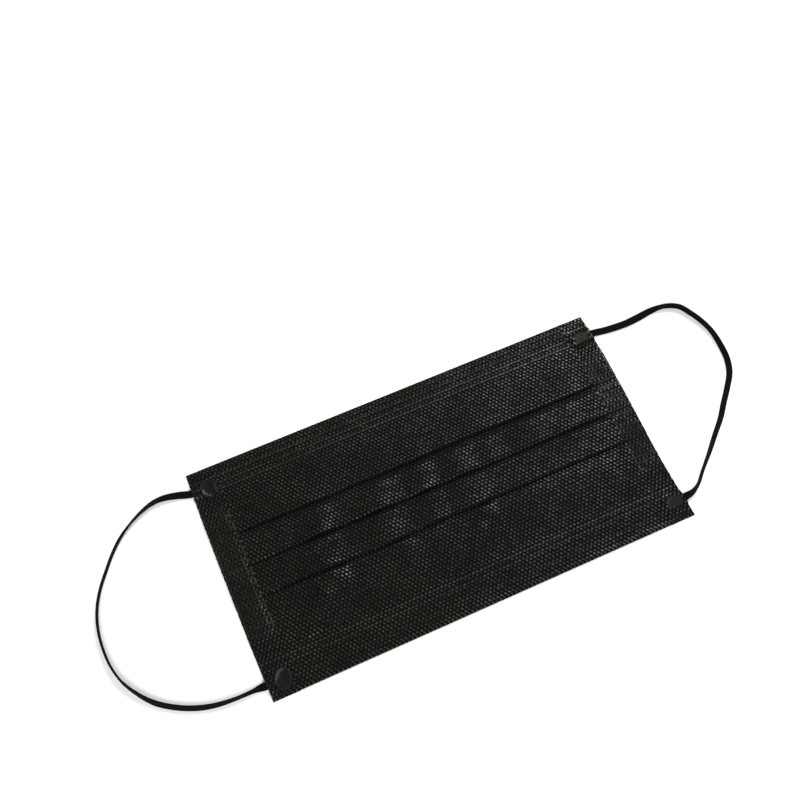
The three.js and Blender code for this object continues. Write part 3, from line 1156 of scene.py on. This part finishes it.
@dataclass
class NoseWire:
    """The soft metal strip between the nose hem and the panel."""

    length: float = 150.0
    width: float = 2.8
    place: float = 44.5
    bottom: float = 0.37
    top: float = 0.83
    rounding: float = 1.4

    def build(self, finish: Finish) -> Piece:
        """Build and dress the wire.

        Args:
            finish: its metal.

        Returns:
            The wire.
        """
        reach = self.length / 2
        x = reach * np.sin(np.linspace(-math.pi / 2, math.pi / 2, 81))
        across = np.linspace(1.0, -1.0, 9)
        past = np.maximum(np.abs(x) - reach + self.rounding, 0.0)
        half = self.width / 2 * np.sqrt(np.clip(1.0 - past ** 2 / self.rounding ** 2, 0.02, 1.0))
        grid_x = np.repeat(x[None, :], len(across), 0)
        y = self.place + across[:, None] * half[None, :]
        crown = np.sqrt(np.clip(1.0 - 0.6 * across[:, None] ** 4, 0.0, 1.0)) * np.ones_like(grid_x)
        middle, half_thick = (self.top + self.bottom) / 2, (self.top - self.bottom) / 2
        upper = np.stack([grid_x, y, middle + half_thick * crown], -1)
        lower = np.stack([grid_x, y, middle - half_thick * crown], -1)
        made = closed_grid("nose_strip", upper, lower, upper[..., :2])
        install(made, finish, ["nose_wire"], "wire")
        return made


# ---- ends of the mask ----


class Side(Enum):
    """The mask's two ends."""

    LEFT = "left"
    RIGHT = "right"


def outline(u: Array, v: Array, square: float) -> Array:
    """Measure how far out of a rounded square places lie.

    Args:
        u: along it, 1 at its side.
        v: across it, 1 at its side.
        square: how square it is, 2 for a circle.

    Returns:
        0 at its middle and 1 on its outline.
    """
    return (np.abs(u) ** square + np.abs(v) ** square) ** (1.0 / square)


@dataclass(frozen=True)
class LoopWeld:
    """A smooth spot where one end of an ear loop is welded on."""

    name: str
    x: float
    y: float
    width: float
    height: float
    square: float
    turn: float
    crinkle: float
    sunk: float
    finish: Finish
    lift: float = 0.035
    dome: float = 0.02
    least: float = 0.03
    foot: float = 0.008

    def local(self, x: Array, y: Array) -> Array:
        """Measure how far out of the spot places lie.

        Args:
            x: along the mask.
            y: across it.

        Returns:
            0 at the middle of the spot and 1 on its outline.
        """
        cosine, sine = math.cos(self.turn), math.sin(self.turn)
        u = ((x - self.x) * cosine + (y - self.y) * sine) / (self.width / 2)
        v = ((y - self.y) * cosine - (x - self.x) * sine) / (self.height / 2)
        return outline(u, v, self.square)

    def build(self, band: "EndSeam") -> Piece:
        """Build and dress the spot, as a thin skin in its dish in the end band.

        Args:
            band: the end band that it lies on.

        Returns:
            The spot.
        """
        across_skin = np.linspace(-1.0, 1.0, 41)
        u, v = np.meshgrid(across_skin, across_skin[::-1])
        square = np.maximum(np.abs(u), np.abs(v))
        rounded = outline(u, v, self.square)
        shrink = np.where(rounded > 1e-9, square / np.maximum(rounded, 1e-9), 1.0)
        along, across = u * shrink * self.width / 2, v * shrink * self.height / 2
        cosine, sine = math.cos(self.turn), math.sin(self.turn)
        x = self.x + along * cosine - across * sine
        y = self.y + along * sine + across * cosine
        out = np.clip(self.local(x, y), 0.0, 1.0)
        surface = band.top(x, y)
        creases = Unevenness(41, 1.7, 0.05).at(x * 1.5, y) * self.crinkle * smooth(0.6, -0.4, along / self.width)
        upper = surface + self.lift + creases * (1.0 - out ** 3) + self.dome * (1.0 - out ** 2)
        upper = np.maximum(upper, surface + self.least)
        made = closed_grid(
            f"loop_spot_{self.name}",
            np.stack([x, y, upper], -1),
            np.stack([x, y, surface + self.foot], -1),
            np.stack([along, across], -1),
        )
        install(made, self.finish, [f"loop_weld_{self.name}"], "weld")
        return made


@dataclass
class EndSeam:
    """The welded band at one end of the mask, where the ends of the pleats are pressed together."""

    side: Side
    panel: PleatedPanel
    edges: tuple[Point, ...]
    welds: tuple[LoopWeld, ...]
    loop_places: tuple[Point, Point]
    pressed: float = 0.74
    pleat_rise: float = 0.3
    groove: float = 0.04
    edge_from: float = 44.5
    edge_drop: float = 0.26
    tunnel_share: float = 0.78
    tunnel_sides: Point = (4.2, 1.9)
    ladder: float = 0.02
    spot_depth: float = 0.045
    rounding: float = 0.12
    underside: float = 0.03
    least_thickness: float = 0.2
    profile_rows: Array = field(default_factory=lambda: np.linspace(-HALF_HEIGHT, HALF_HEIGHT, 1201))
    profile: Array = field(init=False)

    def __post_init__(self) -> None:
        """Measure the panel's end once."""
        self.profile = self.panel.end_profile(np.clip(self.profile_rows, -47.45, 47.45))

    @property
    def outward(self) -> float:
        """Which way the band faces along X."""
        return -1.0 if self.side is Side.LEFT else 1.0

    def edge(self, y: Array) -> Array:
        """Find the cut end.

        Args:
            y: places across the mask.

        Returns:
            How far the cut stands out from the middle of the mask.
        """
        places, reach = np.array(self.edges).T
        fray = Unevenness(51 if self.side is Side.LEFT else 52, 2.2, 0.045).at(y, 0.0)
        return np.interp(y, places, reach) + fray

    def tunnel(self, x: Array, y: Array) -> Array:
        """Lift the band over the ends of the ear loop.

        Args:
            x: along the mask.
            y: across it.

        Returns:
            The lift.
        """
        out = smooth(77.2, 79.0, np.abs(x)) * (0.58 + 0.52 * smooth(80.5, 86.5, np.abs(x)))
        share = smooth(78.0, 88.0, np.abs(x))
        middles = (inner + share * (outer - inner) for inner, outer in self.loop_places)
        return sum(out * smooth(*self.tunnel_sides, np.abs(y - middle)) for middle in middles)

    def top(self, x: Array, y: Array) -> Array:
        """Find the band's upper surface.

        Args:
            x: along the mask.
            y: across it.

        Returns:
            Its height.
        """
        inner = np.interp(y, self.profile_rows, self.profile)
        steps = np.zeros(np.broadcast(x, y).shape)
        for pleat in self.panel.pleats:
            top = pleat.edge + pleat.depth
            steps = steps + smooth(top + 3.0, top - 1.0, y) * smooth(pleat.edge - 0.35, pleat.edge + 0.05, y)
        band = self.pressed + self.pleat_rise * steps - self.edge_drop * smooth(self.edge_from, HALF_HEIGHT, np.abs(y))
        away = smooth(BAND_START, BAND_START + 4.5, np.abs(x))
        height = inner + (band - inner) * away
        groove = hump(np.abs(x) - (BAND_START + 0.9), 0.8) * self.groove
        height = height - groove + Unevenness(61, 7.0, 0.035).at(x, y) * away
        height = height + self.tunnel_share * self.tunnel(x, y)
        for weld in self.welds:
            height = height - weld.sunk * (1.0 - smooth(0.75, 1.2, weld.local(x, y)))
        return height

    def build(self, finish: Finish) -> Piece:
        """Build and dress the band.

        Args:
            finish: its cloth.

        Returns:
            The band.
        """
        y = np.linspace(HALF_HEIGHT, -HALF_HEIGHT, 441)
        share = np.linspace(0.0, 1.0, 49)
        reach = BAND_START + share[None, :] * (self.edge(y)[:, None] - BAND_START)
        x = self.outward * reach
        rows = np.repeat(y[:, None], len(share), 1)
        height = self.top(x, rows)
        ladder = self.ladder * np.cos(TAU * x / PITCH)
        spots = self.spot_depth * lattice(x, rows)
        pleated = smooth(-23.0, -19.0, rows) * (1.0 - smooth(27.0, 30.0, rows))
        plain = 1.0 - np.max([1.0 - smooth(0.9, 1.15, weld.local(x, rows)) for weld in self.welds], axis=0)
        relief = (ladder * pleated - spots * (1.0 - 0.6 * pleated)) * plain
        height = height + relief * smooth(0.0, 0.1, share)[None, :]
        rounding = self.rounding * smooth(0.975, 1.0, share)[None, :]
        low = self.underside + self.tunnel(x, rows) + rounding * 0.6
        height = np.maximum(height - rounding, low + self.least_thickness)
        upper, lower = np.stack([x, rows, height], -1), np.stack([x, rows, low], -1)
        cloth = np.stack([reach - BAND_START, rows], -1)
        if self.outward < 0:
            upper, lower, cloth = upper[:, ::-1], lower[:, ::-1], cloth[:, ::-1]
        made = closed_grid(f"end_band_{self.side.value}", upper, lower, cloth)
        install(made, finish, [f"side_seam_{self.side.value}"], "seam_cloth")
        return made


# ---- ear loops ----


@dataclass
class EarLoop:
    """Flat elastic that leaves under one end of the mask, turns on edge and comes back."""

    side: Side
    route: tuple[Point, ...]
    twist: tuple[Point, ...]
    width: float = 3.0
    thickness: float = 0.9
    cut: float = 160.0
    ribs: int = 5
    rib_depth: float = 0.16
    squareness: Point = (0.45, 0.55)
    clearance: float = 0.02
    looseness: float = 0.25

    def centreline(self) -> Array:
        """Draw a smooth line through the route.

        Returns:
            Its points, about half a millimetre apart.
        """
        given = np.array(self.route)
        ends = np.concatenate([[2 * given[0] - given[1]], given, [2 * given[-1] - given[-2]]])
        stretches = []
        for a, b, c, d in zip(ends[:-3], ends[1:-2], ends[2:-1], ends[3:]):
            before, here, after = (max(float(np.linalg.norm(q - p)) ** 0.5, 1e-3) for p, q in ((a, b), (b, c), (c, d)))
            leave = ((b - a) / before - (c - a) / (before + here) + (c - b) / here) * here
            arrive = ((c - b) / here - (d - b) / (here + after) + (d - c) / after) * here
            t = np.linspace(0.0, 1.0, 40)[:-1, None]
            cubic = 2 * b - 2 * c + leave + arrive
            stretches.append(b + leave * t + (-3 * b + 3 * c - 2 * leave - arrive) * t ** 2 + cubic * t ** 3)
        dense = np.concatenate([*stretches, given[-1:]])
        length = np.concatenate([[0.0], np.cumsum(np.linalg.norm(np.diff(dense, axis=0), axis=1))])
        even = np.linspace(0.0, length[-1], int(length[-1] / 0.5))
        return np.stack([np.interp(even, length, dense[:, k]) for k in (0, 1)], -1)

    def section(self) -> tuple[Array, Array]:
        """Outline the strap's cross-section.

        Returns:
            How far each point lies across the strap, and how far through it, for a size of 1 by 1.
        """
        angles = np.linspace(0.0, TAU, 40, endpoint=False)
        sides, faces = self.squareness
        across = np.sign(np.cos(angles)) * np.abs(np.cos(angles)) ** sides
        through = np.sign(np.sin(angles)) * np.abs(np.sin(angles)) ** faces
        ribbed = 1.0 - self.rib_depth * (0.5 + 0.5 * np.cos(TAU * self.ribs * across / 2.0)) * (np.abs(across) < 0.9)
        return 0.5 * across, 0.5 * through * ribbed

    def build(self, finish: Finish) -> Piece:
        """Args:
            finish: its elastic.

        Returns:
            The loop.
        """
        line = self.centreline()
        share = np.linspace(0.0, 1.0, len(line))
        run = direction(line, 0)
        sideways = np.stack([-run[:, 1], run[:, 0]], -1)
        angle = np.radians(np.interp(share, *np.array(self.twist).T))
        kernel = np.hanning(9) / np.hanning(9).sum()
        angle = np.convolve(np.pad(angle, 4, mode="edge"), kernel, mode="valid")
        distance = share * self.cut
        ends = np.minimum(distance, self.cut - distance)
        thick = self.thickness * (0.5 + 0.5 * smooth(4.0, 9.0, ends))
        height = np.abs(np.sin(angle)) * self.width / 2 + np.abs(np.cos(angle)) * thick / 2 + self.clearance
        height = height + self.looseness * smooth(14.0, 24.0, ends) * (0.5 + 0.5 * np.sin(share * 23.0))
        across, through = self.section()
        cosine, sine = np.cos(angle)[:, None], np.sin(angle)[:, None]
        wide, deep = self.width * across[None, :], thick[:, None] * through[None, :]
        flat, rise = wide * cosine - deep * sine, wide * sine + deep * cosine
        rings = np.concatenate(
            [line[:, None, :] + sideways[:, None, :] * flat[..., None], (height[:, None] + rise)[..., None]], -1
        )
        count, around = rings.shape[:2]
        index = np.arange(count * around).reshape(count, around)
        following = np.roll(index, -1, axis=1)
        sides = np.stack([index[:-1], following[:-1], following[1:], index[1:]], -1).reshape(-1, 4)
        half = around // 2
        caps = []
        for ring, forward in ((index[0], True), (index[-1], False)):
            for i in range(half - 1):
                quad = [ring[i], ring[i + 1], ring[-i - 2], ring[-i - 1]]
                caps.append(quad[::-1] if forward else quad)
        strap = np.stack(
            [np.repeat(across[None, :] * self.width, count, 0), np.repeat(distance[:, None], around, 1)], -1
        )
        faces = np.concatenate([sides, caps])
        made = piece(f"ear_strap_{self.side.value}", rings.reshape(-1, 3) * MM, faces, strap.reshape(-1, 2) * MM)
        install(made, finish, [f"ear_loop_{self.side.value}"], "elastic")
        return made


# ---- studio ----


@dataclass
class Studio:
    """The white floor, the soft lights and the camera."""

    azimuth: float = -23.94
    elevation: float = 65.83
    distance: float = 449.8
    target: Point = (2.9, 43.5)
    lens: float = 49.9

    def floor(self) -> None:
        """Lay the floor."""
        half = 3.0
        corners = np.array([[-half, -half, 0.0], [half, -half, 0.0], [half, half, 0.0], [-half, half, 0.0]])
        made = piece("floor", corners, np.array([[0, 1, 2, 3]]), corners[:, :2])
        made.data.materials.append(Paper("white_paper").material())

    def softbox(self, name: str, place: tuple[float, float, float], size: float, power: float) -> None:
        """Hang a square soft light that faces the mask.

        Args:
            name: of the light.
            place: where it hangs, in metres.
            size: of its side, in metres.
            power: in watts.
        """
        lamp = bpy.data.lights.new(name, "AREA")
        lamp.shape = "SQUARE"
        lamp.size = size
        lamp.energy = power
        made = bpy.data.objects.new(name, lamp)
        made.location = place
        made.rotation_euler = (-Vector(place)).to_track_quat("-Z", "Y").to_euler()
        bpy.context.scene.collection.objects.link(made)

    def sky(self, strength: float) -> None:
        """Fill the room with even light.

        Args:
            strength: of the light.
        """
        world = bpy.data.worlds.new("room")
        world.use_nodes = True
        world.node_tree.nodes["Background"].inputs["Color"].default_value = (1.0, 1.0, 1.0, 1.0)
        world.node_tree.nodes["Background"].inputs["Strength"].default_value = strength
        bpy.context.scene.world = world

    def camera(self) -> None:
        """Set up the camera."""
        turn, tilt = math.radians(self.azimuth), math.radians(self.elevation)
        back = Vector((math.sin(turn) * math.cos(tilt), -math.cos(turn) * math.cos(tilt), math.sin(tilt)))
        lens = bpy.data.cameras.new("camera")
        lens.lens = self.lens
        lens.sensor_width = 36.0
        lens.clip_start = 0.01
        made = bpy.data.objects.new("camera", lens)
        made.location = (Vector((*self.target, 0.0)) + back * self.distance) * MM
        made.rotation_euler = (-back).to_track_quat("-Z", "Y").to_euler()
        bpy.context.scene.collection.objects.link(made)
        bpy.context.scene.camera = made

    def build(self) -> None:
        """Set up the whole studio."""
        self.floor()
        self.sky(0.28)
        self.softbox("softbox_back_right", (0.65, 0.58, 0.95), 0.5, 15.5)
        self.softbox("softbox_front_left", (-0.7, -1.0, 1.3), 1.4, 34.0)
        self.camera()
        bpy.context.scene.view_settings.view_transform = "Standard"


# ---- the mask ----

# Rows of weld dashes: the place across the mask, how bright they are, and what share of each row is dash.
WELD_ROWS = (
    (42.6, 1.2, 0.66), (39.7, 0.9, 0.62), (37.0, 1.1, 0.66), (-33.7, 1.0, 0.66), (-36.4, 0.8, 0.62),
    (-42.0, 0.4, 0.5), (46.6, 0.7, 0.45), (45.3, 0.6, 0.45), (-46.2, 0.7, 0.45),
)


@dataclass
class FaceMask:
    """The whole mask, put together from its pieces."""

    cloth: Finish = Nonwoven("black_nonwoven", rows=WELD_ROWS)
    hem_cloth: Finish = Nonwoven("hem_nonwoven")
    elastic: Finish = Elastic("knitted_elastic")

    def welds(self) -> tuple[LoopWeld, ...]:
        """List the spots where the ear loops are welded on.

        Returns:
            The four of them.
        """
        return (
            LoopWeld("top_left", -80.6, 38.7, 6.2, 6.4, 2.3, 0.2, 1.0, 0.2,
                     Melted("melted_top_left", 0.0045, 0.82, (3.1, 3.2), 3.7, 0.4, 0.05)),
            LoopWeld("bottom_left", -81.0, -41.4, 6.2, 8.4, 2.1, -0.3, 1.0, 0.2,
                     Melted("melted_bottom_left", 0.0048, 0.77, (3.1, 4.2), 2.4, 0.08, 0.11)),
            LoopWeld("top_right", 83.0, 38.7, 5.6, 4.4, 4.0, -0.1, 0.3, 0.13,
                     Melted("melted_top_right", 0.0135, 0.8, (2.8, 2.2), 2.6, 0.05, 0.0)),
            LoopWeld("bottom_right", 82.8, -39.6, 6.2, 4.4, 4.0, -0.2, 0.3, 0.13,
                     Melted("melted_bottom_right", 0.0065, 0.78, (3.1, 2.2), 2.6, 0.05, 0.0)),
        )

    def build(self) -> None:
        """Build every piece of the mask."""
        panel = PleatedPanel()
        sheet = panel.build(self.cloth)
        nose = Hem("nose_hem", "top_hem", 1.0, 11.5).build(self.hem_cloth)
        chin = Hem("chin_hem", "bottom_hem", -1.0, 15.0).build(self.hem_cloth)
        others = [nose, chin, NoseWire().build(SoftMetal("dull_aluminium"))]
        for side, edges, places, column in (
            (Side.LEFT, LEFT_END, ((38.7, 39.5), (-41.5, -41.1)), 1.6),
            (Side.RIGHT, RIGHT_END, ((38.7, 38.6), (-39.6, -39.6)), 0.4),
        ):
            welds = tuple(weld for weld in self.welds() if weld.name.endswith(side.value))
            band = EndSeam(side, panel, edges, welds, places)
            finish = EndBand(f"end_band_cloth_{side.value}", rows=WELD_ROWS, column=column)
            others.append(band.build(finish))
            others.extend(weld.build(band) for weld in welds)
        EarLoop(Side.LEFT, LEFT_ROUTE, LEFT_TWIST).build(self.elastic)
        EarLoop(Side.RIGHT, RIGHT_ROUTE, RIGHT_TWIST).build(self.elastic)


# How far each cut end stands out from the middle of the mask, at places across it.
LEFT_END = ((-47.5, 87.5), (-36.0, 87.8), (-22.0, 88.0), (12.0, 88.0), (28.0, 87.9), (47.5, 87.5))
RIGHT_END = ((-47.5, 87.5), (-36.0, 86.9), (-22.0, 86.7), (-6.0, 87.1), (12.0, 87.7), (28.0, 88.0), (47.5, 87.5))

# The ear loops' routes over the surface, and how far the strap is turned up on edge along them, in degrees.
LEFT_ROUTE = (
    (-78.4, 38.7), (-83, 38.8), (-88, 39.5), (-93, 41), (-98, 42), (-102.5, 41.9), (-107, 40.6),
    (-111.8, 38.3), (-116.4, 35.3), (-120.4, 31.8), (-124.1, 27.7), (-127.8, 22.8), (-131.5, 17.7),
    (-134.5, 12.2), (-136.5, 6.5), (-137.5, 0.7), (-137.7, -5.5), (-137.1, -11.8), (-135.2, -18.4),
    (-131.7, -24.5), (-127.1, -30.1), (-121.4, -34.4), (-114.9, -37.8), (-108.1, -40),
    (-100.5, -41), (-93.5, -41.1), (-87.5, -41.1), (-82.5, -41.3), (-78.2, -41.5),
)
LEFT_TWIST = ((0.0, 0), (0.07, 0), (0.14, 35), (0.26, 84), (0.6, 86), (0.7, 62), (0.8, 66), (0.88, 84), (0.915, 80),
              (0.931, 45), (0.943, 5), (1.0, 0))
RIGHT_ROUTE = (
    (78.2, 38.7), (83, 38.7), (88, 38.6), (95, 37.5), (102, 37), (109, 37.2), (116, 37.7),
    (122.1, 37.1), (127, 34.5), (129.8, 30.1), (132.2, 24.8), (133.7, 19), (133.8, 12), (133, 5.4),
    (130.6, -0.6), (126.4, -5.9), (121.7, -11.1), (117, -16.5), (111.1, -22), (105, -27.8),
    (98.9, -33.2), (94.8, -37.1), (90.7, -39.2), (86.6, -39.6), (82.5, -39.6), (78.2, -39.6),
)
RIGHT_TWIST = ((0.0, 0), (0.17, 4), (0.27, 82), (0.42, 84), (0.48, 70), (0.58, 57), (0.69, 61), (0.77, 68), (0.84, 82),
               (0.88, 84), (0.905, 70), (0.925, 35), (0.937, 3), (1.0, 0))


def main() -> None:
    """Build the studio and the mask."""
    logging.basicConfig(level=logging.INFO, format="%(name)s: %(message)s")
    Studio().build()
    FaceMask().build()


def plain(box: object) -> list[list[float]]:
    """Return a box's corners as plain lists of numbers."""
    return [[float(value) for value in corner] for corner in box]


if __name__ == "__main__":
    main()
